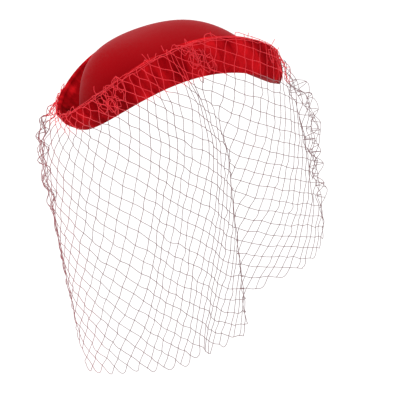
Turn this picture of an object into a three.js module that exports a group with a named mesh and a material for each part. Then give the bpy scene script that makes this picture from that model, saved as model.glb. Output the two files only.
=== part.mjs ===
// A small saddle-shaped felt hat with a turned-up velvet brim and a draped net veil.
// Millimetres, +Z up. The wearer faces -Y, and the hat is cocked down towards -X.
// The origin is the middle of the head opening, level with its edge over the forehead.
import * as THREE from 'three';

// How it is worn, degrees
const LEAN = 10.1;

// Head opening: the folded edge, which dips over each ear
const EDGE_LENGTH = 189; // ear to ear
const EDGE_WIDTH = 165; // forehead to back
const EDGE_ARCH = 36; // drop over each ear
const SEAM_GAP = 0.3; // between the pieces where they meet

// Crown: felt, with its top off centre towards -X
const CROWN_RISE = 35.4; // top over the forehead's edge
const CROWN_WALL = 2.5;
const CROWN_SHIFT = 26; // how far the top lies towards -X
const CROWN_SWELL = 16; // extra fullness on the +X side
const CROWN_ROUND = 2.6; // 2 is an ellipse in section, more is fuller
const SADDLE_ONSET = 3.5; // how late the dome takes up the edge's dip

// Brim: a padded velvet band, folded under at the edge and rolled at the rim
const BRIM_HEIGHT = 23.7; // middle of the roll over the edge, halfway between the ears
const BRIM_WALL = 3;
const FOLD_THICKNESS = 5; // at the lower edge
const FOLD_DEPTH = 1.4; // round of the folded edge, below the wall's foot
const ROLL_THICKNESS = 5; // at the rim
const FLARE_LENGTH = 7.4; // how far the rim stands out over the edge, ear to ear
const FLARE_WIDTH = 11; // the same, forehead to back
const RIM_SHIFT = 7.1; // the rim's middle, towards -X of the edge's
const RIM_ARCH = 40.6; // drop of the rim over each ear
const RIM_TILT = 4.8; // the rim is this much higher at +X
const RIM_PITCH = 5; // and this much higher at the forehead
const BRIM_BULGE = 3.5; // the band swells outwards between edge and rim
const BRIM_PADDING = 3.5; // wadding that rounds the band's inner face

// Veil: a strip of net hung from the rim
const VEIL_DROP = 240; // longest drop under the opening's edge
const VEIL_THICKNESS = 1.2;
const VEIL_STRAND = 4; // width left between two openings
const VEIL_CLEARANCE = 0.7; // off the rolled rim, where it is sewn
const VEIL_COLUMNS = 13; // diamonds side by side
const VEIL_HALF_ROWS = 9; // half diamonds from rim to hem
const HEADING_CENTRE = 0.35; // middle of a heading triangle, in half rows under the rim
const SHOULDER_PLACE = 0.33; // where each rib turns down, as a share of its way to the hem

// Facets round the crown and the brim, and up their sections
const ROUND_SIDES = 48;
const CROWN_STEPS = 10;
const BRIM_STEPS = 6;
const ROLL_STEPS = 4;

// The veil's ribs, from the back at -X round the forehead to the back at +X. `along` is the place on
// the net's strip and `turn` the angle on the rim, in degrees. The shoulder is where the net turns
// down. X and Y are shares of half the edge's length and width, and Z of the veil's drop.
const RIBS = [
  { along: 0.0, turn: 142, shoulder: [-1.2, 0.53, -0.21], hem: [-1.23, 0.53, -0.35] },
  { along: 0.06, turn: 152, shoulder: [-1.32, 0.32, -0.21], hem: [-1.33, 0.29, -0.57] },
  { along: 0.12, turn: 162, shoulder: [-1.4, 0.02, -0.23], hem: [-1.39, -0.02, -0.84] },
  { along: 0.18, turn: 172, shoulder: [-1.39, -0.32, -0.27], hem: [-1.42, -0.38, -1.0] },
  { along: 0.25, turn: 188, shoulder: [-1.24, -0.73, -0.32], hem: [-1.27, -0.8, -1.01] },
  { along: 0.33, turn: 206, shoulder: [-1.02, -1.02, -0.33], hem: [-1.05, -1.09, -0.99] },
  { along: 0.42, turn: 226, shoulder: [-0.72, -1.21, -0.33], hem: [-0.75, -1.27, -0.97] },
  { along: 0.47, turn: 236, shoulder: [-0.57, -1.28, -0.32], hem: [-0.59, -1.32, -0.95] },
  { along: 0.51, turn: 243, shoulder: [-0.4, -1.24, -0.32], hem: [-0.42, -1.21, -0.96] },
  { along: 0.57, turn: 254, shoulder: [-0.15, -1.28, -0.3], hem: [-0.21, -1.3, -0.93] },
  { along: 0.62, turn: 262, shoulder: [0.04, -1.16, -0.31], hem: [-0.02, -1.12, -0.92] },
  { along: 0.66, turn: 269, shoulder: [0.09, -1.08, -0.3], hem: [0.02, -0.98, -0.85] },
  { along: 0.71, turn: 280, shoulder: [0.22, -1.09, -0.29], hem: [0.17, -0.97, -0.81] },
  { along: 0.79, turn: 302, shoulder: [0.55, -0.95, -0.31], hem: [0.58, -0.8, -0.81] },
  { along: 0.86, turn: 322, shoulder: [0.9, -0.63, -0.34], hem: [0.95, -0.48, -0.81] },
  { along: 0.91, turn: 340, shoulder: [1.19, -0.19, -0.35], hem: [1.25, -0.1, -0.76] },
  { along: 0.95, turn: 358, shoulder: [1.42, 0.19, -0.34], hem: [1.36, 0.24, -0.63] },
  { along: 1.0, turn: 380, shoulder: [1.59, 0.58, -0.29], hem: [1.48, 0.61, -0.43] },
];

const STEP = 1e-3; // for slopes taken by difference

const radians = THREE.MathUtils.degToRad;
const edgeHalfLength = EDGE_LENGTH / 2;
const edgeHalfWidth = EDGE_WIDTH / 2;

/** The edge's dip at a turn, given as its cosine. */
const dip = (cosine) => -EDGE_ARCH * cosine * cosine;

/**
 * A point on the crown: `reach` is 0 at the top and 1 at the edge, `inset` is the depth in the wall.
 */
function crownPoint(turn, reach, inset) {
  const c = Math.cos(turn);
  const s = Math.sin(turn);
  const inside = 1 - reach * reach;
  const halfLength = edgeHalfLength - FOLD_THICKNESS - SEAM_GAP - inset;
  const halfWidth = edgeHalfWidth - FOLD_THICKNESS - SEAM_GAP - inset;
  const dome = Math.max(0, 1 - reach ** CROWN_ROUND) ** (1 / CROWN_ROUND);
  return new THREE.Vector3(
    halfLength * reach * c - CROWN_SHIFT * inside,
    halfWidth * reach * s,
    (CROWN_RISE - inset) * dome + reach ** SADDLE_ONSET * dip(c) + CROWN_SWELL * reach * c * inside,
  );
}

/** A point on the middle of the brim's wall: `height` is 0 at the edge and 1 at the rim. */
function brimMiddle(turn, height) {
  const c = Math.cos(turn);
  const s = Math.sin(turn);
  const swell = BRIM_BULGE * 4 * height * (1 - height);
  const foot = FOLD_THICKNESS / 2;
  const footPoint = new THREE.Vector3(
    (edgeHalfLength - foot) * c,
    (edgeHalfWidth - foot) * s,
    dip(c) + FOLD_DEPTH,
  );
  const rimPoint = new THREE.Vector3(
    (edgeHalfLength - foot + FLARE_LENGTH) * c - RIM_SHIFT,
    (edgeHalfWidth - foot + FLARE_WIDTH) * s,
    BRIM_HEIGHT - RIM_ARCH * c * c + RIM_TILT * c - RIM_PITCH * s,
  );
  return footPoint.lerp(rimPoint, height).add(new THREE.Vector3(c, s, -0.5).multiplyScalar(swell));
}

/** The outward direction across a surface, from its slopes along and up. */
function outward(place, along, up) {
  const slopeAlong = place(along + STEP, up).sub(place(along - STEP, up));
  const slopeUp = place(along, up + STEP).sub(place(along, up - STEP));
  return slopeAlong.cross(slopeUp).normalize();
}

/** A point in the brim's wall, `offset` out from its middle. */
function brimPoint(turn, offset, height) {
  return brimMiddle(turn, height).addScaledVector(outward(brimMiddle, turn, height), offset);
}

/**
 * Turns a closed profile about the axis, then bends the ring: every point goes where `place` says,
 * from its turn and its two places in the profile.
 */
function bentLathe(profile, place) {
  const geometry = new THREE.LatheGeometry(profile, ROUND_SIDES);
  geometry.rotateX(Math.PI / 2);
  const position = geometry.getAttribute('position');
  for (let i = 0; i < position.count; i++) {
    const turn = Math.atan2(position.getY(i), position.getX(i));
    const across = Math.hypot(position.getX(i), position.getY(i));
    const point = place(turn, across, position.getZ(i));
    position.setXYZ(i, point.x, point.y, point.z);
  }
  geometry.computeVertexNormals();
  return geometry;
}

/** Felt dome: down inside from the top to the edge, and back up outside. */
function crownGeometry() {
  const reaches = [];
  for (let i = 0; i <= CROWN_STEPS; i++) {
    reaches.push(Math.sin((Math.PI / 2) * (i / CROWN_STEPS)) ** (2 / CROWN_ROUND));
  }
  const inside = reaches.map((reach) => new THREE.Vector2(reach, CROWN_WALL));
  const outside = reaches.map((reach) => new THREE.Vector2(reach, 0)).reverse();
  return bentLathe([...inside, ...outside], crownPoint);
}

/** Half the brim's wall at a height: thick at the fold and the roll, thin between them. */
function brimHalfWall(height) {
  const end = height < 0.5 ? FOLD_THICKNESS : ROLL_THICKNESS;
  const share = Math.abs(2 * height - 1) ** 3;
  return THREE.MathUtils.lerp(BRIM_WALL, end, share) / 2;
}

/** Velvet band: up outside, over the roll, down inside and under the fold. */
function brimGeometry() {
  const ring = 100; // the profile's own radius, from which its offsets are counted
  const point = (offset, height) => new THREE.Vector2(ring + offset, height);
  const outside = [];
  const inside = [];
  for (let i = 0; i <= BRIM_STEPS; i++) {
    const height = i / BRIM_STEPS;
    const padding = BRIM_PADDING * 4 * height * (1 - height);
    outside.push(point(brimHalfWall(height), height));
    inside.unshift(point(-brimHalfWall(height) - padding, height));
  }
  const roll = [];
  const fold = [];
  for (let i = 1; i < ROLL_STEPS; i++) {
    const angle = (Math.PI * i) / ROLL_STEPS;
    const rollHalf = ROLL_THICKNESS / 2;
    const foldHalf = FOLD_THICKNESS / 2;
    roll.push(point(rollHalf * Math.cos(angle), 1 + (rollHalf * Math.sin(angle)) / BRIM_HEIGHT));
    fold.push(point(-foldHalf * Math.cos(angle), -(FOLD_DEPTH * Math.sin(angle)) / BRIM_HEIGHT));
  }
  const profile = [...outside, ...roll, ...inside, ...fold, outside[0]];
  return bentLathe(profile, (turn, across, height) => brimPoint(turn, across - ring, height));
}

/** A rib's turn, shoulder and hem at any place along the strip, on a smooth curve through the table. */
function ribAt(along) {
  const numbers = (rib) => [rib.turn, ...rib.shoulder, ...rib.hem];
  const slope = (from, to) => {
    const run = RIBS[to].along - RIBS[from].along;
    return numbers(RIBS[to]).map((value, i) => (value - numbers(RIBS[from])[i]) / run);
  };
  const last = RIBS.length - 1;
  const slopeAt = (k) => slope(Math.max(0, k - 1), Math.min(last, k + 1));
  let k = 0;
  while (k < last - 1 && along > RIBS[k + 1].along) k += 1;
  const run = RIBS[k + 1].along - RIBS[k].along;
  const t = (along - RIBS[k].along) / run;
  const startSlope = slopeAt(k);
  const endSlope = slopeAt(k + 1);
  const end = numbers(RIBS[k + 1]);
  const value = numbers(RIBS[k]).map((start, i) => (
    start * (1 + 2 * t) * (1 - t) ** 2 + run * startSlope[i] * t * (1 - t) ** 2
    + end[i] * t * t * (3 - 2 * t) + run * endSlope[i] * t * t * (t - 1)
  ));
  const scaled = (x, y, z) => (
    new THREE.Vector3(x * edgeHalfLength, y * edgeHalfWidth, z * VEIL_DROP)
  );
  return {
    turn: radians(value[0]),
    shoulder: scaled(value[1], value[2], value[3]),
    hem: scaled(value[4], value[5], value[6]),
  };
}

/** A point on the middle of the net: `down` is 0 at the rim and 1 at the hem. */
function veilPoint(along, down) {
  const { turn, shoulder, hem } = ribAt(along);
  const offset = ROLL_THICKNESS / 2 + VEIL_CLEARANCE + VEIL_THICKNESS / 2;
  const top = brimPoint(turn, offset, 1);
  const fall = hem.sub(shoulder).divideScalar(1 - SHOULDER_PLACE);
  if (down > SHOULDER_PLACE) return shoulder.addScaledVector(fall, down - SHOULDER_PLACE);
  // From the rim the net springs out on a parabola that runs into the straight fall
  const share = down / SHOULDER_PLACE;
  const arc = shoulder.clone().sub(top);
  const leave = arc.clone().multiplyScalar(2).addScaledVector(fall, -SHOULDER_PLACE);
  return top.addScaledVector(leave, share).addScaledVector(arc.sub(leave), share * share);
}

/**
 * Gives a flat pattern of triangles a thickness on the surface `place`: an outer and an inner face,
 * and a wall along each open edge.
 */
function thickened(points, triangles, place, thickness) {
  const vertices = [];
  for (const side of [0.5, -0.5]) {
    for (const [along, down] of points) {
      const out = outward(place, along, down).multiplyScalar(-side * thickness);
      vertices.push(...place(along, down).add(out));
    }
  }
  const back = points.length;
  const index = [];
  const open = new Map();
  for (const [a, b, c] of triangles) {
    index.push(a, b, c, back + c, back + b, back + a);
    for (const [from, to] of [[a, b], [b, c], [c, a]]) {
      if (!open.delete(`${to},${from}`)) open.set(`${from},${to}`, [from, to]);
    }
  }
  for (const [from, to] of open.values()) {
    index.push(to, from, back + from, to, back + from, back + to);
  }
  const geometry = new THREE.BufferGeometry();
  geometry.setAttribute('position', new THREE.Float32BufferAttribute(vertices, 3));
  geometry.setIndex(index);
  geometry.computeVertexNormals();
  return geometry;
}

/** Net: an opening in every diamond and heading triangle of the lattice, and a pointed hem. */
function veilGeometry() {
  const points = [];
  const triangles = [];
  const known = new Map();
  const pointAt = ([column, row]) => {
    const place = [column / (2 * VEIL_COLUMNS), row / VEIL_HALF_ROWS];
    const name = place.map((share) => share.toFixed(6)).join();
    if (!known.has(name)) {
      known.set(name, points.length);
      points.push(place);
    }
    return known.get(name);
  };
  const placed = ([column, row]) => veilPoint(column / (2 * VEIL_COLUMNS), row / VEIL_HALF_ROWS);

  /** A ring of triangles between a cell's outline and its opening, a strand's half width inside. */
  const pierced = (centre, outline) => {
    const outer = outline.map(([x, y]) => [centre[0] + x, centre[1] + y]);
    const middle = placed(centre);
    const doubleArea = new THREE.Vector3();
    let perimeter = 0;
    outer.forEach((corner, i) => {
      const here = placed(corner);
      const next = placed(outer[(i + 1) % outer.length]);
      perimeter += here.distanceTo(next);
      doubleArea.add(here.sub(middle).cross(next.sub(middle)));
    });
    const inscribed = doubleArea.length() / perimeter; // radius of the circle that fits the cell
    const opening = 1 - VEIL_STRAND / 2 / inscribed;
    const inner = outline.map(([x, y]) => [centre[0] + opening * x, centre[1] + opening * y]);
    outer.forEach((corner, i) => {
      const next = (i + 1) % outer.length;
      const quad = [corner, outer[next], inner[next], inner[i]].map(pointAt);
      triangles.push([quad[0], quad[1], quad[2]], [quad[0], quad[2], quad[3]]);
    });
  };

  // Corners and middles of the sides about the cell's centre, anticlockwise as seen from outside
  const diamond = [[-1, 0], [-0.5, 0.5], [0, 1], [0.5, 0.5], [1, 0], [0.5, -0.5], [0, -1], [-0.5, -0.5]];
  const top = -HEADING_CENTRE;
  const heading = [[-1, 0], [-0.5, 0.5], [0, 1], [0.5, 0.5], [1, 0], [0.5, 0], [0, 0], [-0.5, 0]]
    .map(([x, y]) => [x, y + top]);
  for (let column = 1; column < 2 * VEIL_COLUMNS; column++) {
    for (let row = 0; row < VEIL_HALF_ROWS; row++) {
      if ((column + row) % 2 === 0) continue;
      if (row === 0) pierced([column, HEADING_CENTRE], heading);
      else pierced([column, row], diamond);
    }
  }
  return thickened(points, triangles, veilPoint, VEIL_THICKNESS);
}

const felt = { color: 0xa71018, roughness: 0.75, metalness: 0 };
const velvet = { color: 0xb3121b, roughness: 0.95, metalness: 0 };
const net = { color: 0xb8303a, roughness: 0.8, metalness: 0 };

const group = new THREE.Group();
group.rotation.y = -radians(LEAN);
const pieces = [
  ['crown', crownGeometry(), felt],
  ['brim', brimGeometry(), velvet],
  ['veil', veilGeometry(), net],
];
for (const [name, geometry, finish] of pieces) {
  const mesh = new THREE.Mesh(geometry, new THREE.MeshStandardMaterial(finish));
  mesh.name = name;
  group.add(mesh);
}

export default group;
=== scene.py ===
"""Looks of a small felt hat with a velvet brim and a net veil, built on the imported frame."""
import logging
import math
from collections.abc import Callable, Sequence
from dataclasses import dataclass, field
from enum import Enum

import bmesh
import bpy
import numpy as np
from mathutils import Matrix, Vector


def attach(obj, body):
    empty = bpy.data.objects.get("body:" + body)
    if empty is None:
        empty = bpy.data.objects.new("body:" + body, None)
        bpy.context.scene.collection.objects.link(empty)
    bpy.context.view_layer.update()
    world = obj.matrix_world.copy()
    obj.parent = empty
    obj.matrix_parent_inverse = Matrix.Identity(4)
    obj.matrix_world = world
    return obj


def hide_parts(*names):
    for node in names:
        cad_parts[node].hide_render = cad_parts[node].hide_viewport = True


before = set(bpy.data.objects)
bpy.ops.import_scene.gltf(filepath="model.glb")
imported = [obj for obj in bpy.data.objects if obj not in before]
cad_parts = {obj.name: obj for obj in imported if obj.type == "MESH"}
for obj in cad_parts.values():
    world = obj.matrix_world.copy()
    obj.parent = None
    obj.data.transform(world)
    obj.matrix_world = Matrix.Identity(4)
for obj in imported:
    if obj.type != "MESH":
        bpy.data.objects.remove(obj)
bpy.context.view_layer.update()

MM = 0.001
STEP = 1e-3  # for slopes taken by difference
MERGE = 1e-6  # corners nearer than this are one
BODY = "root"
NAP = "nap"  # attribute: a place on the cloth, for patterns that follow it
NAP_RADIUS = 90 * MM  # of the ring that those places lie on
NAP_HEIGHT = 8 * MM  # of that ring, which draws the patterns out upwards
TONE = "tone"  # attribute: 1 where the net lies over the hat and is painted brighter, a painted highlight, 0 where it hangs free

log = logging.getLogger("hat")


def link(name: str, data: bpy.types.ID) -> bpy.types.Object:
    """A new object of that data, at the origin.

    Args:
        name: The object's name.
        data: Its mesh, curve, camera or light.

    Returns:
        The object, in the scene.
    """
    piece = bpy.data.objects.new(name, data)
    bpy.context.scene.collection.objects.link(piece)
    return piece


def unit(vectors: np.ndarray) -> np.ndarray:
    """The vectors at length 1."""
    return vectors / np.maximum(np.linalg.norm(vectors, axis=-1, keepdims=True), 1e-12)


def smoothstep(low: float, high: float, value: np.ndarray) -> np.ndarray:
    """0 under `low`, 1 over `high` and a smooth rise between."""
    share = np.clip((value - low) / (high - low), 0, 1)
    return share * share * (3 - 2 * share)


def bend(start: np.ndarray, leave: np.ndarray, end: np.ndarray, arrive: np.ndarray,
         t: np.ndarray) -> np.ndarray:
    """Points on a smooth curve.

    Args:
        start: Where it starts.
        leave: Its slope there.
        end: Where it ends.
        arrive: Its slope there.
        t: Shares of the way.

    Returns:
        The points at those shares.
    """
    return (
        start * (1 + 2 * t) * (1 - t) ** 2 + leave * t * (1 - t) ** 2
        + end * t * t * (3 - 2 * t) + arrive * t * t * (t - 1)
    )


def add_attribute(data: bpy.types.Mesh, name: str, values: np.ndarray) -> None:
    """Stores one number or one vector for each vertex.

    Args:
        data: The mesh.
        name: The attribute's name.
        values: A row or a number for each vertex.
    """
    vector = values.ndim == 2
    layer = data.attributes.new(name, "FLOAT_VECTOR" if vector else "FLOAT", "POINT")
    layer.data.foreach_set("vector" if vector else "value", values.astype(np.float32).ravel())


@dataclass(frozen=True)
class HatShape:
    """The sizes of the felt and the velvet, in metres, with the formulas for their surfaces.

    Places are in the hat's own frame, level with the edge at the front; `worn` cocks it.
    """

    lean: float = math.radians(10.1)
    edge_length: float = 189 * MM
    edge_width: float = 165 * MM
    edge_arch: float = 36 * MM
    seam_gap: float = 0.3 * MM
    crown_rise: float = 35.4 * MM
    crown_wall: float = 2.5 * MM
    crown_shift: float = 26 * MM
    crown_swell: float = 16 * MM
    crown_round: float = 2.6
    saddle_onset: float = 3.5
    brim_height: float = 23.7 * MM
    brim_wall: float = 3 * MM
    fold_thickness: float = 5 * MM
    fold_depth: float = 1.4 * MM
    roll_thickness: float = 5 * MM
    flare_length: float = 7.4 * MM
    flare_width: float = 11 * MM
    rim_shift: float = 7.1 * MM
    rim_arch: float = 40.6 * MM
    rim_tilt: float = 4.8 * MM
    rim_pitch: float = 5 * MM
    brim_bulge: float = 3.5 * MM
    brim_padding: float = 3.5 * MM

    def worn(self, points: np.ndarray) -> np.ndarray:
        """Points of the hat's own frame, leaned over as worn.

        Args:
            points: Rows of x, y and z.

        Returns:
            The same rows, turned.
        """
        c, s = math.cos(self.lean), math.sin(self.lean)
        x, y, z = points[..., 0], points[..., 1], points[..., 2]
        return np.stack([c * x - s * z, y, s * x + c * z], axis=-1)

    def upright(self, points: np.ndarray) -> np.ndarray:
        """Points as worn, back in the hat's own frame.

        Args:
            points: Rows of x, y and z.

        Returns:
            The same rows, turned back.
        """
        c, s = math.cos(self.lean), math.sin(self.lean)
        x, y, z = points[..., 0], points[..., 1], points[..., 2]
        return np.stack([c * x + s * z, y, c * z - s * x], axis=-1)

    def dip(self, cosine: np.ndarray) -> np.ndarray:
        """How far the edge drops at a turn, given as its cosine."""
        return -self.edge_arch * cosine**2

    def crown_point(self, turn: np.ndarray, reach: np.ndarray, inset: np.ndarray) -> np.ndarray:
        """Points of the crown's wall.

        Args:
            turn: Angles round the hat.
            reach: 0 at the top and 1 at the edge.
            inset: Depths in the wall, in metres.

        Returns:
            An array of points, three numbers each.
        """
        c, s = np.cos(turn), np.sin(turn)
        inside = 1 - reach**2
        half_length = self.edge_length / 2 - self.fold_thickness - self.seam_gap - inset
        half_width = self.edge_width / 2 - self.fold_thickness - self.seam_gap - inset
        dome = np.maximum(0, 1 - reach**self.crown_round) ** (1 / self.crown_round)
        height = (self.crown_rise - inset) * dome + reach**self.saddle_onset * self.dip(c)
        return np.stack([
            half_length * reach * c - self.crown_shift * inside,
            half_width * reach * s,
            height + self.crown_swell * reach * c * inside,
        ], axis=-1)

    def brim_middle(self, turn: np.ndarray, height: np.ndarray) -> np.ndarray:
        """Points on the middle of the brim's wall, with `height` 0 at the edge and 1 at the rim.

        Args:
            turn: Angles round the hat.
            height: Shares of the way up.

        Returns:
            The points.
        """
        c, s = np.cos(turn), np.sin(turn)
        swell = self.brim_bulge * 4 * height * (1 - height)
        foot_length = (self.edge_length - self.fold_thickness) / 2
        foot_width = (self.edge_width - self.fold_thickness) / 2
        foot = np.stack([foot_length * c, foot_width * s, self.dip(c) + self.fold_depth], axis=-1)
        rim = np.stack([
            (foot_length + self.flare_length) * c - self.rim_shift,
            (foot_width + self.flare_width) * s,
            self.brim_height - self.rim_arch * c**2 + self.rim_tilt * c - self.rim_pitch * s,
        ], axis=-1)
        middle = foot + (rim - foot) * height[..., None]
        return middle + np.stack([c, s, -0.5 + 0 * c], axis=-1) * swell[..., None]

    def brim_point(self, turn: np.ndarray, offset: np.ndarray, height: np.ndarray) -> np.ndarray:
        """Points in the brim's wall, `offset` out from its middle.

        Args:
            turn: Angles round the hat.
            offset: Distances out, in metres.
            height: Shares of the way up.

        Returns:
            The points.
        """
        along = self.brim_middle(turn + STEP, height) - self.brim_middle(turn - STEP, height)
        upward = self.brim_middle(turn, height + STEP) - self.brim_middle(turn, height - STEP)
        outward = unit(np.cross(along, upward))
        return self.brim_middle(turn, height) + outward * offset[..., None]

    def brim_half_wall(self, height: np.ndarray) -> np.ndarray:
        """Half the brim's wall: thick at the fold and the roll, thin between them.

        Args:
            height: Shares of the way up.

        Returns:
            Thicknesses in metres.
        """
        end = np.where(height < 0.5, self.fold_thickness, self.roll_thickness)
        share = np.abs(2 * height - 1) ** 3
        return (self.brim_wall + (end - self.brim_wall) * share) / 2


@dataclass(frozen=True)
class Rib:
    """One upright line of the veil's surface.

    `turn` is its angle on the rim in degrees. Shoulder and hem are shares of half the edge's
    length, half its width and the veil's drop.
    """

    along: float
    turn: float
    shoulder: tuple[float, float, float]
    hem: tuple[float, float, float]


RIBS = (
    Rib(0.0, 142, (-1.2, 0.53, -0.21), (-1.23, 0.53, -0.35)),
    Rib(0.06, 152, (-1.32, 0.32, -0.21), (-1.33, 0.29, -0.57)),
    Rib(0.12, 162, (-1.4, 0.02, -0.23), (-1.39, -0.02, -0.84)),
    Rib(0.18, 172, (-1.39, -0.32, -0.27), (-1.42, -0.38, -1.0)),
    Rib(0.25, 188, (-1.24, -0.73, -0.32), (-1.27, -0.8, -1.01)),
    Rib(0.33, 206, (-1.02, -1.02, -0.33), (-1.05, -1.09, -0.99)),
    Rib(0.42, 226, (-0.72, -1.21, -0.33), (-0.75, -1.27, -0.97)),
    Rib(0.47, 236, (-0.57, -1.28, -0.32), (-0.59, -1.32, -0.95)),
    Rib(0.51, 243, (-0.4, -1.24, -0.32), (-0.42, -1.21, -0.96)),
    Rib(0.57, 254, (-0.15, -1.28, -0.3), (-0.21, -1.3, -0.93)),
    Rib(0.62, 262, (0.04, -1.16, -0.31), (-0.02, -1.12, -0.92)),
    Rib(0.66, 269, (0.09, -1.08, -0.3), (0.02, -0.98, -0.85)),
    Rib(0.71, 280, (0.22, -1.09, -0.29), (0.17, -0.97, -0.81)),
    Rib(0.79, 302, (0.55, -0.95, -0.31), (0.58, -0.8, -0.81)),
    Rib(0.86, 322, (0.9, -0.63, -0.34), (0.95, -0.48, -0.81)),
    Rib(0.91, 340, (1.19, -0.19, -0.35), (1.25, -0.1, -0.76)),
    Rib(0.95, 358, (1.42, 0.19, -0.34), (1.36, 0.24, -0.63)),
    Rib(1.0, 380, (1.59, 0.58, -0.29), (1.48, 0.61, -0.43)),
)


@dataclass
class VeilSurface:
    """The smooth surface that the net hangs on, in the hat's own frame.

    A place on it is `along` the strip, from the back at -X round the front, and `down` from the
    rim at 0 to the depth of the strip at 1. Short ribs go on straight past the hem, which is cut.
    """

    hat: HatShape
    drop: float = 240 * MM
    depth: float = 250 * MM
    thickness: float = 1.2 * MM
    clearance: float = 0.7 * MM
    shoulder_place: float = 0.33
    farthest: float = 6.0  # how many times its own length the shortest rib is drawn out
    past_ends: int = 120  # grid steps past each end of the strip
    end_steps: int = 10  # grid steps that its slope there is read over
    past_rim: int = 14
    past_hem: int = 24
    rim_lean: float = 0.5  # how far in the net leans over the rim
    grid_along: int = 800
    grid_down: int = 200
    grid: np.ndarray = field(init=False)
    hem: np.ndarray = field(init=False)

    def __post_init__(self) -> None:
        """Works the surface out on a fine grid, even by length down each rib, with wide margins."""
        along = np.linspace(0, 1, self.grid_along + 1)[:, None]
        share = np.linspace(0, self.farthest, int(self.farthest * self.grid_down) + 1)[None, :]
        lines = self.formula(*np.broadcast_arrays(along, share))
        steps = np.linalg.norm(np.diff(lines, axis=1), axis=2)
        lengths = np.concatenate([np.zeros_like(along), np.cumsum(steps, axis=1)], axis=1)
        pitch = self.depth / self.grid_down
        wanted = np.arange(self.grid_down + self.past_hem + 1) * pitch
        hung = np.stack([
            np.stack([np.interp(wanted, length, line[:, axis]) for axis in range(3)], axis=-1)
            for length, line in zip(lengths, lines)
        ])
        turn, _, _ = self.ribs_at(along[:, 0])
        out = np.stack([np.cos(turn), np.sin(turn), 0 * turn], axis=-1)
        over_rim = unit(np.array([0, 0, 1]) - self.rim_lean * out)[:, None, :]
        above = hung[:, :1] + over_rim * (np.arange(self.past_rim, 0, -1) * pitch)[None, :, None]
        strip = np.concatenate([above, hung], axis=1)
        beyond = np.arange(1, self.past_ends + 1)[:, None, None]
        before = strip[:1] + (strip[0] - strip[self.end_steps]) / self.end_steps * beyond[::-1]
        after = strip[-1:] + (strip[-1] - strip[-1 - self.end_steps]) / self.end_steps * beyond
        self.grid = np.concatenate([before, strip, after])
        self.hem = lengths[:, self.grid_down] / self.depth

    def hem_at(self, along: np.ndarray) -> np.ndarray:
        """How far down the hem lies."""
        return np.interp(along, np.linspace(0, 1, self.grid_along + 1), self.hem)

    def ribs_at(self, along: np.ndarray) -> tuple[np.ndarray, np.ndarray, np.ndarray]:
        """The rim's turn, the shoulder and the hem at any place along, on a smooth curve.

        Args:
            along: Places along the strip.

        Returns:
            The turns in radians, and two sets of points.
        """
        rows = np.array([[rib.along, rib.turn, *rib.shoulder, *rib.hem] for rib in RIBS])
        places, values = rows[:, 0], rows[:, 1:]
        ahead = np.minimum(np.arange(len(rows)) + 1, len(rows) - 1)
        behind = np.maximum(np.arange(len(rows)) - 1, 0)
        slopes = (values[ahead] - values[behind]) / (places[ahead] - places[behind])[:, None]
        k = np.clip(np.searchsorted(places, along, side="right") - 1, 0, len(rows) - 2)
        run = (places[k + 1] - places[k])[..., None]
        t = (along[..., None] - places[k][..., None]) / run
        value = bend(values[k], run * slopes[k], values[k + 1], run * slopes[k + 1], t)
        sizes = np.array([self.hat.edge_length / 2, self.hat.edge_width / 2, self.drop])
        return np.radians(value[..., 0]), value[..., 1:4] * sizes, value[..., 4:7] * sizes

    def formula(self, along: np.ndarray, share: np.ndarray) -> np.ndarray:
        """Points by share of the way to the hem: a parabola out from the rim, then a straight fall.

        Args:
            along: Places along the strip.
            share: Shares of the way to the hem.

        Returns:
            The points.
        """
        turn, shoulder, hem = self.ribs_at(along)
        offset = self.hat.roll_thickness / 2 + self.clearance + self.thickness / 2
        top = self.hat.brim_point(turn, np.full_like(turn, offset), np.ones_like(turn))
        fall = (hem - shoulder) / (1 - self.shoulder_place)
        spring = (share / self.shoulder_place)[..., None]
        arc = shoulder - top
        leave = 2 * arc - self.shoulder_place * fall
        sprung = top + leave * spring + (arc - leave) * spring**2
        hanging = shoulder + fall * (share[..., None] - self.shoulder_place)
        return np.where(share[..., None] > self.shoulder_place, hanging, sprung)

    def at(self, along: np.ndarray, down: np.ndarray) -> np.ndarray:
        """Points read from the grid.

        Args:
            along: Places along the strip.
            down: Places down it.

        Returns:
            The points.
        """
        last_x, last_y = self.grid.shape[0] - 1, self.grid.shape[1] - 1
        x = np.clip(along * self.grid_along + self.past_ends, 0, last_x)
        y = np.clip(down * self.grid_down + self.past_rim, 0, last_y)
        i = np.minimum(x.astype(int), last_x - 1)
        j = np.minimum(y.astype(int), last_y - 1)
        u, v = (x - i)[..., None], (y - j)[..., None]
        near = self.grid[i, j] * (1 - v) + self.grid[i, j + 1] * v
        far = self.grid[i + 1, j] * (1 - v) + self.grid[i + 1, j + 1] * v
        return near * (1 - u) + far * u

    def slopes(self, along: np.ndarray, down: np.ndarray) -> tuple[np.ndarray, np.ndarray]:
        """How a point moves per unit along and per unit down.

        Args:
            along: Places along the strip.
            down: Places down it.

        Returns:
            The two sets of directions, in metres to the unit.
        """
        reach = STEP * 3
        by_along = (self.at(along + STEP, down) - self.at(along - STEP, down)) / (2 * STEP)
        by_down = (self.at(along, down + reach) - self.at(along, down - reach)) / (2 * reach)
        return by_along, by_down

    def outward(self, along: np.ndarray, down: np.ndarray) -> np.ndarray:
        """Directions out from the hat."""
        by_along, by_down = self.slopes(along, down)
        return unit(np.cross(by_down, by_along))


@dataclass(frozen=True)
class Pleat:
    """An upright fold, which takes up some of the net's width within a spread."""

    along: float
    spread: float
    taken: float


@dataclass(frozen=True)
class Wave:
    """A smooth wave over the strip, by its pace along, its pace down and its start."""

    along: float
    down: float
    start: float = 0.0

    def at(self, along: np.ndarray, down: np.ndarray) -> np.ndarray:
        """The wave's height, from -1 to 1."""
        return np.sin(self.along * along + self.down * down + self.start)


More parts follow.
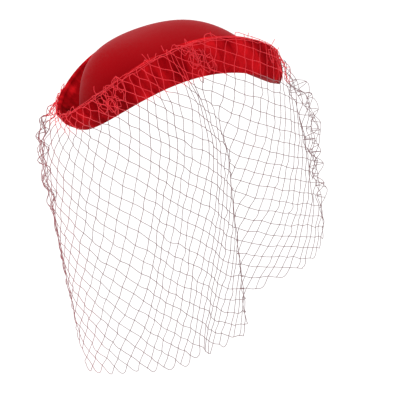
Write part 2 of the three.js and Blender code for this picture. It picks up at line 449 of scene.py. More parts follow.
class Run(Enum):
    """The two ways that the net's threads run, by which of a knot's two counts goes up."""

    SLANTED = 0
    HANGING = 1


@dataclass
class NetLattice:
    """The net's knots: a square mesh laid aslant on the veil's surface and cut at its edges.

    Two sets of threads cross: `slanted` ones run round the hat and sink a little to the right, and
    `hanging` ones fall almost straight. A knot's step counts both from a corner of the net.
    """

    surface: VeilSurface
    side: float = 10.3 * MM
    width: float = 505 * MM  # the strip's length where the mesh is even
    slant: float = math.radians(-18)
    hang: float = math.radians(-110)
    left_sink: float = 0.7  # how much steeper the slanted threads fall round the left side
    left_part: float = 0.34  # how far along that goes
    swing: float = 0.11  # how far along the hanging threads curve back by the hem
    left_swing: float = 0.05  # how much further they lean round the left side
    left_side: tuple[float, float] = (0.15, 0.4)  # where that ends, along
    reach: int = 160  # threads laid out each way from the middle
    table: int = 1241  # places along at which the strip's widths and heights are read
    past_ends: float = 0.12  # how far past both ends the mesh is laid, along
    over_rim: float = 0.06  # and over the rim, of the strip's depth
    under_hem: float = 0.08
    lowest: float = 1.1  # how far down a knot may slide
    rounds: int = 700
    loop: float = 0.03  # how far a cell may stand over the rim, of the strip's depth
    hem_slack: float = 0.018  # how far a cell may reach under the hem
    ends: tuple[float, float] = (-0.018, 0.985)  # where the strip ends at the rim, along
    left_lean: float = 0.15  # how far along the left end travels on its way down
    pleats: tuple[Pleat, ...] = (Pleat(0.535, 0.01, 0.012), Pleat(0.602, 0.008, 0.045))
    wander: float = 0.004  # how far the drape shifts the knots to and fro
    sideways: tuple[Wave, Wave] = (Wave(31, 5), Wave(17, -9, 2))
    upright: Wave = Wave(23, 11)
    step: np.ndarray = field(init=False)
    along: np.ndarray = field(init=False)
    down: np.ndarray = field(init=False)
    sides: np.ndarray = field(init=False)
    number: dict[tuple[int, int], int] = field(init=False)
    kept: set[tuple[int, int]] = field(init=False)

    def __post_init__(self) -> None:
        """Lays the lattice out, relaxes it and cuts it."""
        self.lay_out()
        self.relax()
        self.cut()

    def lay_out(self) -> None:
        """Gives the knots first places, as on the unrolled strip, and joins them by sides."""
        surface = self.surface
        table = np.linspace(-self.past_ends, 1 + self.past_ends, self.table)
        level = np.clip(table, 0, 1)
        rim = surface.hat.worn(surface.at(level, 0 * level))[:, 2]
        hem = surface.hat.worn(surface.at(level, surface.hem_at(level)))[:, 2]
        rate = surface.hem_at(level) / (rim - hem)
        let_out = (
            pleat.taken * smoothstep(-2, 2, (table - pleat.along) / pleat.spread)
            for pleat in self.pleats
        )
        spread = table + sum(let_out)
        across = spread * self.width
        counts = np.arange(-self.reach, self.reach)
        i, j = np.meshgrid(counts, counts, indexing="ij")
        x = self.side * (i * math.cos(self.slant) + j * math.cos(self.hang)) + self.width / 2
        z = self.side * (i * math.sin(self.slant) + j * math.sin(self.hang))
        left = self.left_part * self.width
        z = z + self.left_sink * np.maximum(left - x, 0) ** 2 / (2 * left)
        along = np.interp(x, across, table)
        down = (np.interp(along, table, rim) - z) * np.interp(along, table, rate)
        side = 1 - smoothstep(*self.left_side, along)
        along = along - (self.swing * np.maximum(down, 0) + self.left_swing * side) * down
        inside = (x > across[0]) & (x < across[-1]) & (along > -self.past_ends)
        inside &= (down > -self.over_rim) & (down < 1 + self.under_hem)
        self.step = np.stack([i[inside], j[inside]], axis=1)
        self.along, self.down = along[inside], down[inside]
        drift = sum(wave.at(self.along, self.down) for wave in self.sideways)
        self.along = self.along + self.wander * drift
        self.down = self.down + self.wander * self.upright.at(self.along, self.down)
        self.number = {(int(a), int(b)): k for k, (a, b) in enumerate(self.step)}
        self.sides = np.array([
            (k, self.number[following])
            for (a, b), k in self.number.items()
            for following in ((a + 1, b), (a, b + 1))
            if following in self.number
        ])

    def relax(self) -> None:
        """Moves the knots on the surface until no side is longer than the thread between knots."""
        degree = np.maximum(np.bincount(self.sides.ravel(), minlength=len(self.step)), 1)[:, None]
        start, end = self.sides.T
        for _ in range(self.rounds):
            points = self.surface.at(self.along, self.down)
            span = points[end] - points[start]
            length = np.linalg.norm(span, axis=1)
            move = span * (np.maximum(1 - self.side / length, 0) / 2)[:, None]
            pull = np.zeros_like(points)
            np.add.at(pull, start, move)
            np.add.at(pull, end, -move)
            pull *= 2 / degree
            by_along, by_down = self.surface.slopes(self.along, self.down)
            aa = (by_along**2).sum(1)
            dd = (by_down**2).sum(1)
            ad = (by_along * by_down).sum(1)
            pa = (by_along * pull).sum(1)
            pd = (by_down * pull).sum(1)
            area = np.maximum(aa * dd - ad**2, 1e-12)
            along = self.along + (dd * pa - ad * pd) / area
            down = self.down + (aa * pd - ad * pa) / area
            self.along = np.clip(along, -self.past_ends, 1 + self.past_ends)
            self.down = np.clip(down, -self.over_rim, self.lowest)

    def cut(self) -> None:
        """Keeps the sides of the cells that lie wholly within the veil."""
        lowest = self.surface.hem_at(self.along) + self.hem_slack
        first, last = self.ends
        inside = (self.down > -self.loop) & (self.down < lowest)
        inside &= (self.along > first + self.left_lean * self.down) & (self.along < last)
        self.kept = set()
        for (a, b), k in self.number.items():
            others = ((a + 1, b), (a, b + 1), (a + 1, b + 1))
            corners = [self.number.get(place, -1) for place in others]
            if min(corners) < 0 or not (inside[k] and inside[corners].all()):
                continue
            right, below, far = corners
            self.kept |= {(k, right), (k, below), (right, far), (below, far)}

    def neighbours(self) -> dict[int, list[int]]:
        """The knots that each knot is still joined to.

        Returns:
            A list of knots for each kept knot.
        """
        joined: dict[int, list[int]] = {}
        for start, end in sorted(self.kept):
            joined.setdefault(start, []).append(end)
            joined.setdefault(end, []).append(start)
        return joined

    def threads(self) -> list[list[int]]:
        """Every thread's knots from edge to edge of the cut net, slanted ones and hanging ones.

        Returns:
            A list of knots for each thread.
        """
        threads = []
        for run in Run:
            following = {
                a: b for a, b in self.kept if self.step[b][run.value] > self.step[a][run.value]
            }
            for start in sorted(set(following) - set(following.values())):
                knots = [start]
                while knots[-1] in following:
                    knots.append(following[knots[-1]])
                threads.append(knots)
        return threads


class Socket:
    """A socket of a material's nodes, which takes part in sums as a number does."""

    def __init__(self, paint: "Paint", socket: bpy.types.NodeSocket) -> None:
        """Keeps the socket and the material that it belongs to."""
        self.paint = paint
        self.socket = socket

    def math(self, operation: str, left: "Socket | float", right: "Socket | float") -> "Socket":
        """A Math node on two values."""
        return self.paint.node("ShaderNodeMath", {"operation": operation}, {0: left, 1: right})

    def __add__(self, other: "Socket | float") -> "Socket":
        """The sum."""
        return self.math("ADD", self, other)

    __radd__ = __add__

    def __sub__(self, other: "Socket | float") -> "Socket":
        """The difference."""
        return self.math("SUBTRACT", self, other)

    def __rsub__(self, other: "Socket | float") -> "Socket":
        """The difference, the other way round."""
        return self.math("SUBTRACT", other, self)

    def __mul__(self, other: "Socket | float") -> "Socket":
        """The product."""
        return self.math("MULTIPLY", self, other)

    __rmul__ = __mul__


Value = Socket | float | tuple


class Paint:
    """Makes the nodes of one material."""

    def __init__(self, name: str) -> None:
        """Starts a material that has no nodes yet.

        Args:
            name: The material's name.
        """
        self.material = bpy.data.materials.new(name)
        self.material.use_nodes = True
        self.tree = self.material.node_tree
        self.tree.nodes.clear()

    def node(self, kind: str, settings: dict[str, object], inputs: dict[int | str, Value],
             output: int | str = 0) -> Socket:
        """Adds a node.

        Args:
            kind: The node's type.
            settings: Its properties, or `stops` for a ramp.
            inputs: Numbers, colours or links for its sockets.
            output: Which of its outputs is wanted.

        Returns:
            That output.
        """
        node = self.tree.nodes.new(kind)
        for name, value in settings.items():
            if name == "stops":
                elements = node.color_ramp.elements
                while len(elements) < len(value):
                    elements.new(0.5)
                for element, (place, colour) in zip(elements, value):
                    element.position = place
                    element.color = (*colour, 1)
            else:
                setattr(node, name, value)
        for name, value in inputs.items():
            if isinstance(value, Socket):
                self.tree.links.new(value.socket, node.inputs[name])
            elif isinstance(value, tuple) and len(value) == 3 and node.inputs[name].type == "RGBA":
                node.inputs[name].default_value = (*value, 1)
            else:
                node.inputs[name].default_value = value
        return Socket(self, node.outputs[output] if node.outputs else None)

    def place(self, scale: tuple[float, float, float] = (1, 1, 1)) -> Socket:
        """Object coordinates, stretched."""
        where = self.node("ShaderNodeTexCoord", {}, {}, "Object")
        return self.node("ShaderNodeMapping", {}, {"Vector": where, "Scale": scale})

    def attribute(self, name: str, output: str) -> Socket:
        """A value stored on the mesh."""
        return self.node("ShaderNodeAttribute", {"attribute_name": name}, {}, output)

    def noise(
        self, where: Socket, scale: float, detail: float = 2, roughness: float = 0.5
    ) -> Socket:
        """Soft noise from 0 to 1."""
        inputs = {"Vector": where, "Scale": scale, "Detail": detail, "Roughness": roughness}
        return self.node("ShaderNodeTexNoise", {}, inputs, "Fac")

    def ramp(
        self, value: Socket, stops: Sequence[tuple[float, tuple[float, float, float]]]
    ) -> Socket:
        """Colours by value."""
        return self.node("ShaderNodeValToRGB", {"stops": stops}, {"Fac": value}, "Color")

    def mix(self, share: Value, first: Value, second: Value) -> Socket:
        """A colour between two."""
        return self.node("ShaderNodeMixRGB", {}, {"Fac": share, "Color1": first, "Color2": second})

    def bump(self, height: Socket, distance: float, strength: float = 1.0) -> Socket:
        """A normal from a height."""
        inputs = {"Height": height, "Distance": distance, "Strength": strength}
        return self.node("ShaderNodeBump", {}, inputs)

    def finish(self, **inputs: Value) -> bpy.types.Material:
        """Joins a Principled shader with these inputs to the output.

        Args:
            inputs: Values or links, named as the shader's sockets are.

        Returns:
            The finished material.
        """
        named = {
            name.replace("_", " ").title().replace("Ior", "IOR"): value
            for name, value in inputs.items()
        }
        shader = self.node("ShaderNodeBsdfPrincipled", {}, named)
        self.node("ShaderNodeOutputMaterial", {}, {"Surface": shader})
        return self.material


Colour = tuple[float, float, float]


@dataclass(frozen=True)
class FeltFinish:
    """Smooth wool felt with a satin bloom."""

    base: Colour = (0.31, 0.002, 0.005)
    shade: Colour = (0.25, 0.001, 0.003)
    cloud_scale: float = 28  # patterns to the metre
    fibre_scale: float = 900
    pressed_scale: float = 160
    fibre_share: float = 0.3  # of the mottling, beside the clouds
    pressed_share: float = 0.6  # of the relief, beside the fibres
    relief: float = 0.1 * MM
    relief_strength: float = 0.5
    roughness: float = 0.5
    pressed_roughness: float = 0.12
    sheen: float = 0.2
    sheen_roughness: float = 0.25
    bloom: Colour = (1.0, 0.42, 0.46)

    def material(self) -> bpy.types.Material:
        """Makes the material.

        Returns:
            The material, ready for a piece.
        """
        paint = Paint("felt")
        here = paint.place()
        cloud = paint.noise(here, self.cloud_scale, 3)
        fibre = paint.noise(paint.place((1, 1, 3)), self.fibre_scale, 3, 0.7)
        pressed = paint.noise(here, self.pressed_scale, 2)
        mottling = cloud * (1 - self.fibre_share) + fibre * self.fibre_share
        height = fibre + self.pressed_share * pressed
        return paint.finish(
            base_color=paint.mix(mottling, self.shade, self.base),
            roughness=self.roughness + self.pressed_roughness * pressed,
            specular_ior_level=0.01,
            normal=paint.bump(height, self.relief, self.relief_strength),
            sheen_weight=self.sheen,
            sheen_roughness=self.sheen_roughness,
            sheen_tint=self.bloom,
        )


@dataclass(frozen=True)
class VelvetFinish:
    """Crushed velvet: a deep pile whose streaks catch the light, with the sheen and shade painted
    in.
    """

    dark: Colour = (0.11, 0.0003, 0.0007)
    base: Colour = (0.30, 0.0015, 0.004)
    bright: Colour = (0.64, 0.008, 0.013)
    levels: tuple[float, float, float] = (0.36, 0.5, 0.66)  # of the crush, at those three colours: painted shade, the pile's red and painted sheen
    sheen: float = 0.01
    sheen_roughness: float = 0.35
    bloom: Colour = (1.0, 0.1, 0.12)
    painted_end_shade: float = 0.09  # painted shade: how much darker the pile is painted at the ends, which turn from the light, than at the front and back
    streak_scale: float = 75  # patterns to the metre
    patch_scale: float = 26
    patch_share: float = 0.4  # of the crush, beside the streaks
    pile_scale: float = 1500
    pile_share: float = 0.5  # of the relief, beside the streaks
    relief: float = 0.3 * MM
    relief_strength: float = 0.6

    def material(self) -> bpy.types.Material:
        """Makes the material.

        Returns:
            The material, ready for a piece.
        """
        paint = Paint("velvet")
        nap = paint.attribute(NAP, "Vector")
        # the crush pattern: the pile's own mottling, its bright streaks painted sheen and its dark
        # ones painted shade
        streak = paint.noise(nap, self.streak_scale, 4, 0.6)
        patch = paint.noise(nap, self.patch_scale, 2, 0.5)
        pile = paint.noise(paint.place(), self.pile_scale, 2, 0.6)
        across = paint.node("ShaderNodeSeparateXYZ", {}, {"Vector": nap}, "Y") * (1 / NAP_RADIUS)
        # painted shade: darker towards the two ends of the brim than at the front and back
        crush_sheen_and_shade = (
            streak * (1 - self.patch_share) + patch * self.patch_share
            + (across * across - 0.5) * self.painted_end_shade
        )
        stops = tuple(zip(self.levels, (self.dark, self.base, self.bright)))
        height = pile * self.pile_share + streak
        return paint.finish(
            base_color=paint.ramp(crush_sheen_and_shade, stops),
            roughness=0.8,
            specular_ior_level=0.01,
            normal=paint.bump(height, self.relief, self.relief_strength),
            sheen_weight=self.sheen,
            sheen_roughness=self.sheen_roughness,
            sheen_tint=self.bloom,
        )


@dataclass(frozen=True)
class ThreadFinish:
    """Dyed net thread, brighter where it lies over the hat than where it hangs free: a painted
    highlight.
    """

    hanging: Colour = (0.24, 0.14, 0.15)
    lit_over_hat: Colour = (0.78, 0.03, 0.045)
    dye_scale: float = 60  # patterns to the metre
    unevenness: float = 0.2  # how far the dye shifts the tone

    def material(self) -> bpy.types.Material:
        """Makes the material.

        Returns:
            The material, ready for a piece.
        """
        paint = Paint("net_thread")
        tone = paint.attribute(TONE, "Fac")
        dye = paint.noise(paint.place(), self.dye_scale, 2)
        # painted highlight: the brighter colour where the thread lies over the hat
        return paint.finish(
            base_color=paint.mix(
                tone + self.unevenness * (dye - 0.5), self.hanging, self.lit_over_hat
            ),
            roughness=0.6,
            specular_ior_level=0.2,
        )


Place = Callable[[np.ndarray, np.ndarray, np.ndarray], np.ndarray]


def bent_ring(
    name: str, profile: Sequence[tuple[float, float]], sides: int, place: Place
) -> bpy.types.Object:
    """Spins a closed profile about Z and bends the ring.

    Args:
        name: The new object's name.
        profile: Places across and up; a profile that starts on the axis is left open there.
        sides: Steps in a full turn.
        place: Where a point goes, from its turn, its place across and its place up.

    Returns:
        The object, with its places on the cloth stored as an attribute.
    """
    mesh = bmesh.new()
    corners = [mesh.verts.new((across, 0.0, upward)) for across, upward in profile]
    edges = [mesh.edges.new(pair) for pair in zip(corners, corners[1:])]
    if profile[0][0] > 0:
        edges.append(mesh.edges.new((corners[-1], corners[0])))
    bmesh.ops.spin(
        mesh, geom=[*corners, *edges], cent=(0, 0, 0), axis=(0, 0, 1), dvec=(0, 0, 0),
        angle=2 * math.pi, steps=sides, use_merge=True, use_normal_flip=False, use_duplicate=False,
    )
    bmesh.ops.remove_doubles(mesh, verts=mesh.verts, dist=MERGE)
    flat = np.array([vertex.co for vertex in mesh.verts])
    turn, across = np.arctan2(flat[:, 1], flat[:, 0]), np.hypot(flat[:, 0], flat[:, 1])
    bent = place(turn, across, flat[:, 2])
    for vertex, point in zip(mesh.verts, bent):
        vertex.co = point
    bmesh.ops.recalc_face_normals(mesh, faces=mesh.faces)
    for face in mesh.faces:
        face.smooth = True
    data = bpy.data.meshes.new(name)
    mesh.to_mesh(data)
    mesh.free()
    nap = np.stack(
        [NAP_RADIUS * np.cos(turn), NAP_RADIUS * np.sin(turn), NAP_HEIGHT * flat[:, 2]], axis=1
    )
    add_attribute(data, NAP, nap)
    return link(name, data)


def tubes(name: str, paths: Sequence[np.ndarray], radius: float) -> bpy.types.Object:
    """Round threads along paths, as one mesh.

    Args:
        name: The new object's name.
        paths: The points of each thread.
        radius: Half a thread's thickness, in metres.

    Returns:
        The object.
    """
    curve = bpy.data.curves.new(name, "CURVE")
    curve.dimensions = "3D"
    curve.bevel_depth = radius
    curve.bevel_resolution = 1
    curve.use_fill_caps = True
    for path in paths:
        spline = curve.splines.new("POLY")
        spline.points.add(len(path) - 1)
        spline.points.foreach_set("co", np.column_stack([path, np.ones(len(path))]).ravel())
    holder = link(name + "_paths", curve)
    finished = holder.evaluated_get(bpy.context.evaluated_depsgraph_get())
    data = bpy.data.meshes.new_from_object(finished)
    data.name = name
    bpy.data.objects.remove(holder)
    bpy.data.curves.remove(curve)
    data.shade_smooth()
    return link(name, data)


def corner_points(piece: bpy.types.Object) -> np.ndarray:
    """A mesh's vertices as an array.

    Args:
        piece: An object with a mesh.

    Returns:
        Rows of x, y and z.
    """
    flat = np.zeros(len(piece.data.vertices) * 3)
    piece.data.vertices.foreach_get("co", flat)
    return flat.reshape(-1, 3)


@dataclass
class FeltCrown:
    """The blocked felt dome."""

    hat: HatShape
    steps: int = 36
    sides: int = 192
    seam_spread: float = 3.2 * MM  # how far the edge spreads at the ends, to meet the velvet
    seam_height: float = 0.15  # of the rise

    def build(self) -> bpy.types.Object:
        """Spins and bends the dome's wall, and dresses it in felt.

        Returns:
            The crown.
        """
        share = np.linspace(0, 1, self.steps + 1)
        reaches = np.sin(math.pi / 2 * share) ** (2 / self.hat.crown_round)
        inside = [(reach, self.hat.crown_wall) for reach in reaches]
        outside = [(reach, 0.0) for reach in reaches[::-1]]
        crown = bent_ring("felt_crown", inside + outside, self.sides, self.place)
        crown.data.materials.append(FeltFinish().material())
        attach(crown, BODY)
        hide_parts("crown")
        return crown

    def place(self, turn: np.ndarray, reach: np.ndarray, inset: np.ndarray) -> np.ndarray:
        """Where a point of the dome lies as worn.

        Args:
            turn: Angles round the hat.
            reach: 0 at the top and 1 at the edge.
            inset: Depths in the wall, in metres.

        Returns:
            The points.
        """
        rise = np.maximum(0, 1 - reach**self.hat.crown_round) ** (1 / self.hat.crown_round)
        spread = self.seam_spread * (1 - smoothstep(0, self.seam_height, rise)) * abs(np.cos(turn))
        return self.hat.worn(self.hat.crown_point(turn, reach, inset - spread))


@dataclass(frozen=True)
class Crease:
    """One of the waves that crease the velvet: how many go round, where they start, their lean."""

    count: int
    start: float
    lean: float
    share: float  # of the depth


@dataclass
class VelvetBrim:
    """The padded velvet band, folded under at the edge and rolled at the rim."""

    hat: HatShape
    steps: int = 22
    roll_steps: int = 12
    sides: int = 288
    ring: float = 100 * MM
    crease: float = 0.35 * MM
    creases: tuple[Crease, ...] = (
        Crease(11, 0.4, 1.5, 0.4),
        Crease(17, 2.1, -2.0, 0.35),
        Crease(29, 4.0, 1.0, 0.25),
    )
    padding_fill: float = 0.5

    def build(self) -> bpy.types.Object:
        """Spins and bends the band's section, and dresses it in velvet.

        Returns:
            The brim.
        """
        brim = bent_ring("velvet_brim", self.section(), self.sides, self.place)
        brim.data.materials.append(VelvetFinish().material())
        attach(brim, BODY)
        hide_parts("brim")
        return brim

    def section(self) -> list[tuple[float, float]]:
        """The closed section: up outside, over the roll, down inside and under the fold.

        Returns:
            Places across and up.
        """
        hat = self.hat
        heights = np.linspace(0, 1, self.steps + 1)
        half = hat.brim_half_wall(heights)
        angles = np.linspace(0, math.pi, self.roll_steps + 1)[1:-1]
        roll, fold = hat.roll_thickness / 2, hat.fold_thickness / 2
        outside = [(self.ring + h, z) for h, z in zip(half, heights)]
        padding = hat.brim_padding * 4 * heights * (1 - heights)
        inside = [(self.ring - h - p, z) for h, p, z in zip(half, padding, heights)][::-1]
        over = [
            (self.ring + roll * math.cos(a), 1 + roll * math.sin(a) / hat.brim_height)
            for a in angles
        ]
        under = [(self.ring - fold * math.cos(a), -hat.fold_depth * math.sin(a) / hat.brim_height)
                 for a in angles]
        return outside + over + inside + under

    def place(self, turn: np.ndarray, across: np.ndarray, height: np.ndarray) -> np.ndarray:
        """Where a point of the band lies as worn, with soft creases up its outer face.

        Args:
            turn: Angles round the hat.
            across: Distances from the axis of the ring that is bent.
            height: Shares of the way up.

        Returns:
            The points.
        """
        wave = sum(
            np.sin(crease.count * turn + crease.start + crease.lean * height) * crease.share
            for crease in self.creases
        )
        window = np.clip(4 * height * (1 - height), 0, 1)
        offset = across - self.ring + self.crease * wave * window
        return self.hat.worn(self.hat.brim_point(turn, offset, height))


@dataclass(frozen=True)
class Tack:
    """A place where the net is caught to the brim in a heap of loose cells."""

    along: float
    spread: float
    reach: float  # how far down the heap goes, of the strip's depth
    cells: int


@dataclass(frozen=True)
class Crumple:
    """The net's crumpling at its two back ends, with the places along and down where it fades."""

    depth: float = 3.5 * MM
    pitch: float = 0.033  # along, from one crest to the next
    slant: float = 9.0  # how far the crests turn on the way down
    unevenness: float = 0.9
    left: tuple[float, float] = (0.06, 0.2)
    left_down: tuple[float, float] = (0.28, 0.55)
    right: tuple[float, float] = (0.86, 0.95)
    below_rim: tuple[float, float] = (0.02, 0.1)

    def push(self, along: np.ndarray, down: np.ndarray, random: np.random.Generator) -> np.ndarray:
        """How far out the knots are pushed, in metres.

        Args:
            along: The knots' places along the strip.
            down: Their places down it.
            random: The source of the unevenness.

        Returns:
            A distance for each knot.
        """
        left = (1 - smoothstep(*self.left, along)) * (1 - smoothstep(*self.left_down, down))
        edge = (left + smoothstep(*self.right, along)) * smoothstep(*self.below_rim, down)
        crest = np.sin(math.tau * along / self.pitch + self.slant * down)
        return self.depth * edge * (crest + random.normal(0, self.unevenness, len(down)))


@dataclass(frozen=True)
class Heading:
    """The drawn threads that hold the net on the rim, and the ends that they leave."""

    angles: tuple[float, ...] = (0, 25, 50)  # round the roll, in degrees
    steps: int = 260
    wander: float = 0.2  # of an angle, to and fro
    ends: int = 9
    end_places: tuple[float, float] = (0.1, 0.95)
    end_length: tuple[float, float] = (6, 9)  # in millimetres
    end_lean: float = 0.5
    end_bend: float = 1 * MM
    end_steps: int = 6


@dataclass(frozen=True)
class LooseCell:
    """A cell of the net that lies crumpled in a heap."""

    corners: int = 5
    half_size: tuple[float, float, float] = (3.6, 6.5, 0)  # across, down and out, in millimetres
    reach: tuple[float, float] = (0.5, 1.3)  # of the half size, corner by corner
    turn: float = 0.3
    lift: float = 0.6 * MM
    roundness: float = 0.2
    steps: int = 4
    sunk: float = 1.5  # how far in it may lie, in millimetres


@dataclass
class NetVeil:
    """The knotted net: its threads, its knots and the edge that is sewn to the rim."""

    hat: HatShape
    thread: float = 0.27 * MM
    knot: float = 0.4 * MM
    knot_length: float = 1.4  # how much longer it is along the grain
    side_steps: int = 4
    pinch: float = 0.5  # how much the threads of a tall cell turn along the grain at a knot
    unevenness: float = 0.5 * MM  # how far the knots stray from an even mesh
    corner_cut: float = 0.1  # how far a corner of the hem is rounded off
    held: float = 0.06  # how far down the rim holds the knots still
    sway: float = 0.35 * MM
    bow: float = 2 * MM  # how far a slack thread may bow
    bow_side: tuple[float, float] = (-0.5, 0.9)  # in and out, of that
    kink: float = 0.08 * MM
    tall: tuple[float, float] = (0.75, 0.95)  # how near the grain a tall cell's threads run
    near: tuple[float, float] = (1.07, 1.19)  # where the painted highlight over the hat ends, of the rim's size
    level: float = 3 * MM  # how softly it ends at the brim's edge
    bunched: float = 0.18  # the tone of the bunched threads at -X
    bunched_places: tuple[float, float] = (-128 * MM, -118 * MM)
    crumple: Crumple = Crumple()
    heading: Heading = Heading()
    loose: LooseCell = LooseCell()
    tacks: tuple[Tack, ...] = (
        Tack(0.41, 0.03, 0.07, 12),
        Tack(0.655, 0.04, 0.12, 15),
        Tack(0.87, 0.03, 0.12, 11),
    )
    seed: int = 7

    def build(self) -> list[bpy.types.Object]:
        """Makes the threads, the knots and the sewn edge.

        Returns:
            The pieces of the net.
        """
        self.random = np.random.default_rng(self.seed)
        self.surface = VeilSurface(self.hat)
        self.net = NetLattice(self.surface)
        self.place_knots()
        threads = tubes("net_threads", self.worn(self.net_paths()), self.thread)
        heading = tubes("net_heading", self.worn(self.rim_threads()), self.thread)
        heaps = tubes("net_heaps", self.worn(self.heaps()), self.thread)
        pieces = [threads, self.knots(), heading, heaps]
        finish = ThreadFinish().material()
        for piece in pieces:
            self.dress(piece, finish)
        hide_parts("veil")
        return pieces

    def worn(self, paths: Sequence[np.ndarray]) -> list[np.ndarray]:
        """The paths as worn."""
        return [self.hat.worn(path) for path in paths]

    def dress(self, piece: bpy.types.Object, finish: bpy.types.Material) -> None:
        """Gives a piece of the net its tone, material and body.

        Args:
            piece: Threads or knots.
            finish: The material of the thread.
        """
        hat = self.hat
        points = hat.upright(corner_points(piece))
        x, y = points[:, 0] + hat.rim_shift, points[:, 1]
        length = (hat.edge_length - hat.fold_thickness) / 2 + hat.flare_length
        width = (hat.edge_width - hat.fold_thickness) / 2 + hat.flare_width
        # painted highlight: the thread's tone is 1 over the hat, within the rim and above the
        # brim's edge
        near = 1 - smoothstep(*self.near, np.hypot(x / length, y / width))
        cosine = points[:, 0] / np.maximum(np.hypot(points[:, 0], points[:, 1]), 1e-9)
        above = smoothstep(-self.level, self.level, points[:, 2] - hat.dip(cosine))
        bunched = self.bunched * (1 - smoothstep(*self.bunched_places, points[:, 0]))
        add_attribute(piece.data, TONE, np.maximum(near * above, bunched))
        piece.data.materials.clear()
        piece.data.materials.append(finish)
        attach(piece, BODY)

    def place_knots(self) -> None:
        """Sets each knot's point, the grain through it, and the way round each hem corner."""
        net = self.net
        self.outward = self.surface.outward(net.along, net.down)
        loose = smoothstep(0, self.held, net.down)
        sway = self.random.normal(0, self.sway, len(net.down)) * loose
        sway = sway + self.crumple.push(net.along, net.down, self.random)
        by_along, by_down = self.surface.slopes(net.along, net.down)
        shift = self.random.normal(0, self.unevenness, (2, len(net.down))) * loose
        self.points = self.surface.at(net.along, net.down) + self.outward * sway[:, None]
        self.points += unit(by_along) * shift[0][:, None] + unit(by_down) * shift[1][:, None]
        grain = np.zeros_like(self.points)
        start, end = net.sides.T
        span = self.points[end] - self.points[start]
        np.add.at(grain, start, span)
        np.add.at(grain, end, span)
        self.grain = unit(grain)
        self.corners = {}
        rounded = self.points.copy()
        for knot, joined in net.neighbours().items():
            if len(joined) == 2:
                first, second = self.points[joined]
                self.corners[knot] = unit(second - first)
                rounded[knot] += ((first + second) / 2 - self.points[knot]) * self.corner_cut
        self.points = rounded

    def net_paths(self) -> list[np.ndarray]:
        """The points of every thread of the net."""
        return [self.thread_through(knots) for knots in self.net.threads()]

    def tangent(self, knots: Sequence[int], place: int) -> np.ndarray:
        """The way a thread passes a knot: on a smooth line, along the grain where cells are tall.

        Args:
            knots: The thread's knots.
            place: Which of them it passes.

        Returns:
            A direction.
        """
        knot = knots[place]
        before, after = knots[max(place - 1, 0)], knots[min(place + 1, len(knots) - 1)]
        way = unit(self.points[after] - self.points[before])
        if knot in self.corners:
            along = self.corners[knot]
            return along if along @ way > 0 else -along
        tall = smoothstep(*self.tall, abs(way @ self.grain[knot]))
        return unit(way * (1 - self.pinch * tall) + self.grain[knot] * self.pinch * tall)

    def thread_through(self, knots: Sequence[int]) -> np.ndarray:
        """One thread's points: gently bowed from knot to knot.

        Args:
            knots: The thread's knots.

        Returns:
            The points, from the first knot to the last.
        """
        t = np.linspace(0, 1, self.side_steps + 1)[:-1, None]
        pieces = []
        for place, (start, end) in enumerate(zip(knots, knots[1:])):
            a, b = self.points[start], self.points[end]
            length = np.linalg.norm(b - a)
            leave = self.tangent(knots, place) * length
            arrive = self.tangent(knots, place + 1) * length
            bow = math.sqrt(max(0.0, self.net.side**2 - length**2)) / 2
            slack = self.outward[start] * min(bow, self.bow) * self.random.uniform(*self.bow_side)
            kink = self.random.normal(0, self.kink, 3)
            pieces.append(bend(a, leave, b, arrive, t) + (slack + kink) * 4 * t * (1 - t))
        pieces.append(self.points[knots[-1]][None, :])
        return np.concatenate(pieces)

    def rim_threads(self) -> list[np.ndarray]:
        """The drawn threads' points, then those of the ends.

        Returns:
            A path for each.
        """
        heading = self.heading
        radius = self.hat.roll_thickness / 2 + 2 * self.thread
        paths = []
        for angle in heading.angles:
            turns = np.linspace(*np.radians([RIBS[0].turn, RIBS[-1].turn]), heading.steps)
            wander = self.random.normal(0, heading.wander, len(turns[::4]))
            wander = np.interp(turns, turns[::4], wander)
            around = math.radians(angle) + wander
            middle = np.ones_like(turns)
            flat = self.hat.brim_point(turns, radius * np.cos(around), middle)
            path = flat + np.array([0, 0, 1]) * (radius * np.sin(around))[:, None]
            paths.append(path)
        for place in self.random.uniform(*heading.end_places, heading.ends):
            turn, _, _ = self.surface.ribs_at(np.array([place]))
            root = self.hat.brim_point(turn, np.array([radius]), np.ones(1))[0]
            lean = self.random.normal(0, heading.end_lean, 2)
            way = np.array([*lean, 1.0]) * self.random.uniform(*heading.end_length) * MM
            curl = self.random.normal(0, heading.end_bend, 3)
            t = np.linspace(0, 1, heading.end_steps)[:, None]
            paths.append(root + way * t + curl * 4 * t * (1 - t))
        return paths

    def heaps(self) -> list[np.ndarray]:
        """Loose crumpled cells heaped where the net is tacked to the brim.

        Returns:
            A closed path for each cell.
        """
        paths = []
        for tack in self.tacks:
            for _ in range(tack.cells):
                along = np.array([tack.along + self.random.normal(0, tack.spread / 2)])
                down = np.array([self.random.uniform(0, tack.reach)])
                by_along, by_down = self.surface.slopes(along, down)
                out = self.surface.outward(along, down)[0]
                middle = self.surface.at(along, down)[0]
                middle = middle - out * self.random.uniform(0, self.loose.sunk) * MM
                axes = np.stack([unit(by_along)[0], unit(by_down)[0], out])
                paths.append(middle + self.crumpled_cell() @ axes)
        return paths

    def crumpled_cell(self) -> np.ndarray:
        """A closed loop of thread with rounded corners, across, down and out.

        Returns:
            The points round it.
        """
        cell, corners = self.loose, self.loose.corners
        places = np.arange(corners) + self.random.uniform(-cell.turn, cell.turn, corners)
        turns = places * math.tau / corners
        reach = self.random.uniform(*cell.reach, corners)[:, None] * np.array(cell.half_size) * MM
        points = np.stack([np.cos(turns), np.sin(turns), 0 * turns], axis=1) * reach
        points[:, 2] = self.random.normal(0, cell.lift, corners)
        tangents = (np.roll(points, -1, axis=0) - np.roll(points, 1, axis=0)) * cell.roundness
        t = np.linspace(0, 1, cell.steps + 1)[:-1, None]
        loop = [
            bend(points[k - 1], tangents[k - 1], points[k], tangents[k], t)
            for k in [*range(1, corners), 0]
        ]
        loop.append(points[:1])
        return np.concatenate(loop)

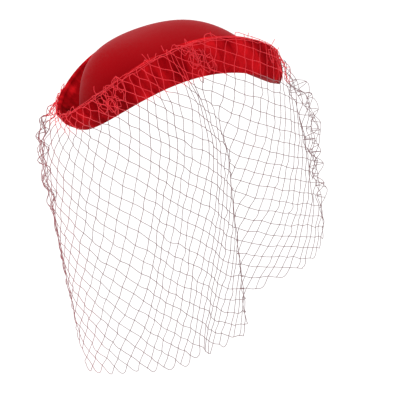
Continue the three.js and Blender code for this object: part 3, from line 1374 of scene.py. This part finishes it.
    def knots(self) -> bpy.types.Object:
        """A small bead of thread at every knot, long along the grain.

        Returns:
            All the beads as one object.
        """
        shape = bmesh.new()
        bmesh.ops.create_icosphere(shape, subdivisions=1, radius=1)
        corners = np.array([vertex.co for vertex in shape.verts])
        faces = np.array([[vertex.index for vertex in face.verts] for face in shape.faces])
        shape.free()
        joined = {knot for side in self.net.kept for knot in side}
        kept = np.array(sorted(joined - set(self.corners)))
        grain, outward = self.grain[kept], self.outward[kept]
        side = np.cross(grain, outward)
        long = grain * self.knot * self.knot_length
        axes = np.stack([side * self.knot, outward * self.knot, long], axis=1)
        points = self.points[kept, None, :] + np.einsum("ck,nkx->ncx", corners, axes)
        index = (faces[None] + len(corners) * np.arange(len(kept))[:, None, None]).reshape(-1, 3)
        data = bpy.data.meshes.new("net_knots")
        data.from_pydata(self.hat.worn(points.reshape(-1, 3)).tolist(), [], index.tolist())
        data.shade_smooth()
        return link("net_knots", data)


@dataclass
class Studio:
    """The camera at the photograph's angle, soft lights and a pale floor far below the hat."""

    azimuth: float = -19.555
    elevation: float = 11.815
    distance: float = 1.290
    target: tuple[float, float, float] = (0.02616, 0.0, -0.12396)
    view_angle: float = 16.108
    sensor: float = 36.0
    surround: float = 1.0
    sun_strength: float = 1.5
    sun_angle: float = 50.0
    sun_turn: tuple[float, float, float] = (-8.0, -14.0, 0.0)
    floor_height: float = -6.0
    floor_size: float = 600.0
    floor_colour: Colour = (0.78, 0.78, 0.78)

    def build(self) -> None:
        """Makes the camera, the lights and the floor."""
        self.camera()
        self.lights()
        self.floor()

    def camera(self) -> None:
        """Aims a camera from the azimuth and elevation at the target."""
        a, e = math.radians(self.azimuth), math.radians(self.elevation)
        back = Vector((math.sin(a) * math.cos(e), -math.cos(a) * math.cos(e), math.sin(e)))
        data = bpy.data.cameras.new("camera")
        data.sensor_width = self.sensor
        data.lens = self.sensor / 2 / math.tan(math.radians(self.view_angle) / 2)
        camera = link("camera", data)
        camera.location = Vector(self.target) + back * self.distance
        camera.rotation_euler = (-back).to_track_quat("-Z", "Y").to_euler()
        bpy.context.scene.camera = camera

    def lights(self) -> None:
        """Sets an even white surround and one soft sun from above, a little to the left."""
        bpy.context.scene.view_settings.view_transform = "Standard"
        world = bpy.data.worlds.new("surround")
        world.use_nodes = True
        background = world.node_tree.nodes["Background"].inputs
        background["Color"].default_value = (1, 1, 1, 1)
        background["Strength"].default_value = self.surround
        bpy.context.scene.world = world
        data = bpy.data.lights.new("sun", "SUN")
        data.energy = self.sun_strength
        data.angle = math.radians(self.sun_angle)
        sun = link("sun", data)
        sun.rotation_euler = [math.radians(turn) for turn in self.sun_turn]

    def floor(self) -> None:
        """Lays a wide pale floor."""
        mesh = bmesh.new()
        bmesh.ops.create_grid(mesh, x_segments=1, y_segments=1, size=self.floor_size)
        bmesh.ops.translate(mesh, verts=mesh.verts, vec=(0, 0, self.floor_height))
        data = bpy.data.meshes.new("floor")
        mesh.to_mesh(data)
        mesh.free()
        paint = Paint("floor")
        data.materials.append(paint.finish(base_color=self.floor_colour, roughness=0.9))
        link("floor", data)


def main() -> None:
    """Builds the studio and the hat, and reports each piece."""
    logging.basicConfig(level=logging.INFO)
    Studio().build()
    hat = HatShape()
    pieces = [FeltCrown(hat).build(), VelvetBrim(hat).build(), *NetVeil(hat).build()]
    for piece in pieces:
        log.info("%s: %d faces", piece.name, len(piece.data.polygons))


if __name__ == "__main__":
    main()
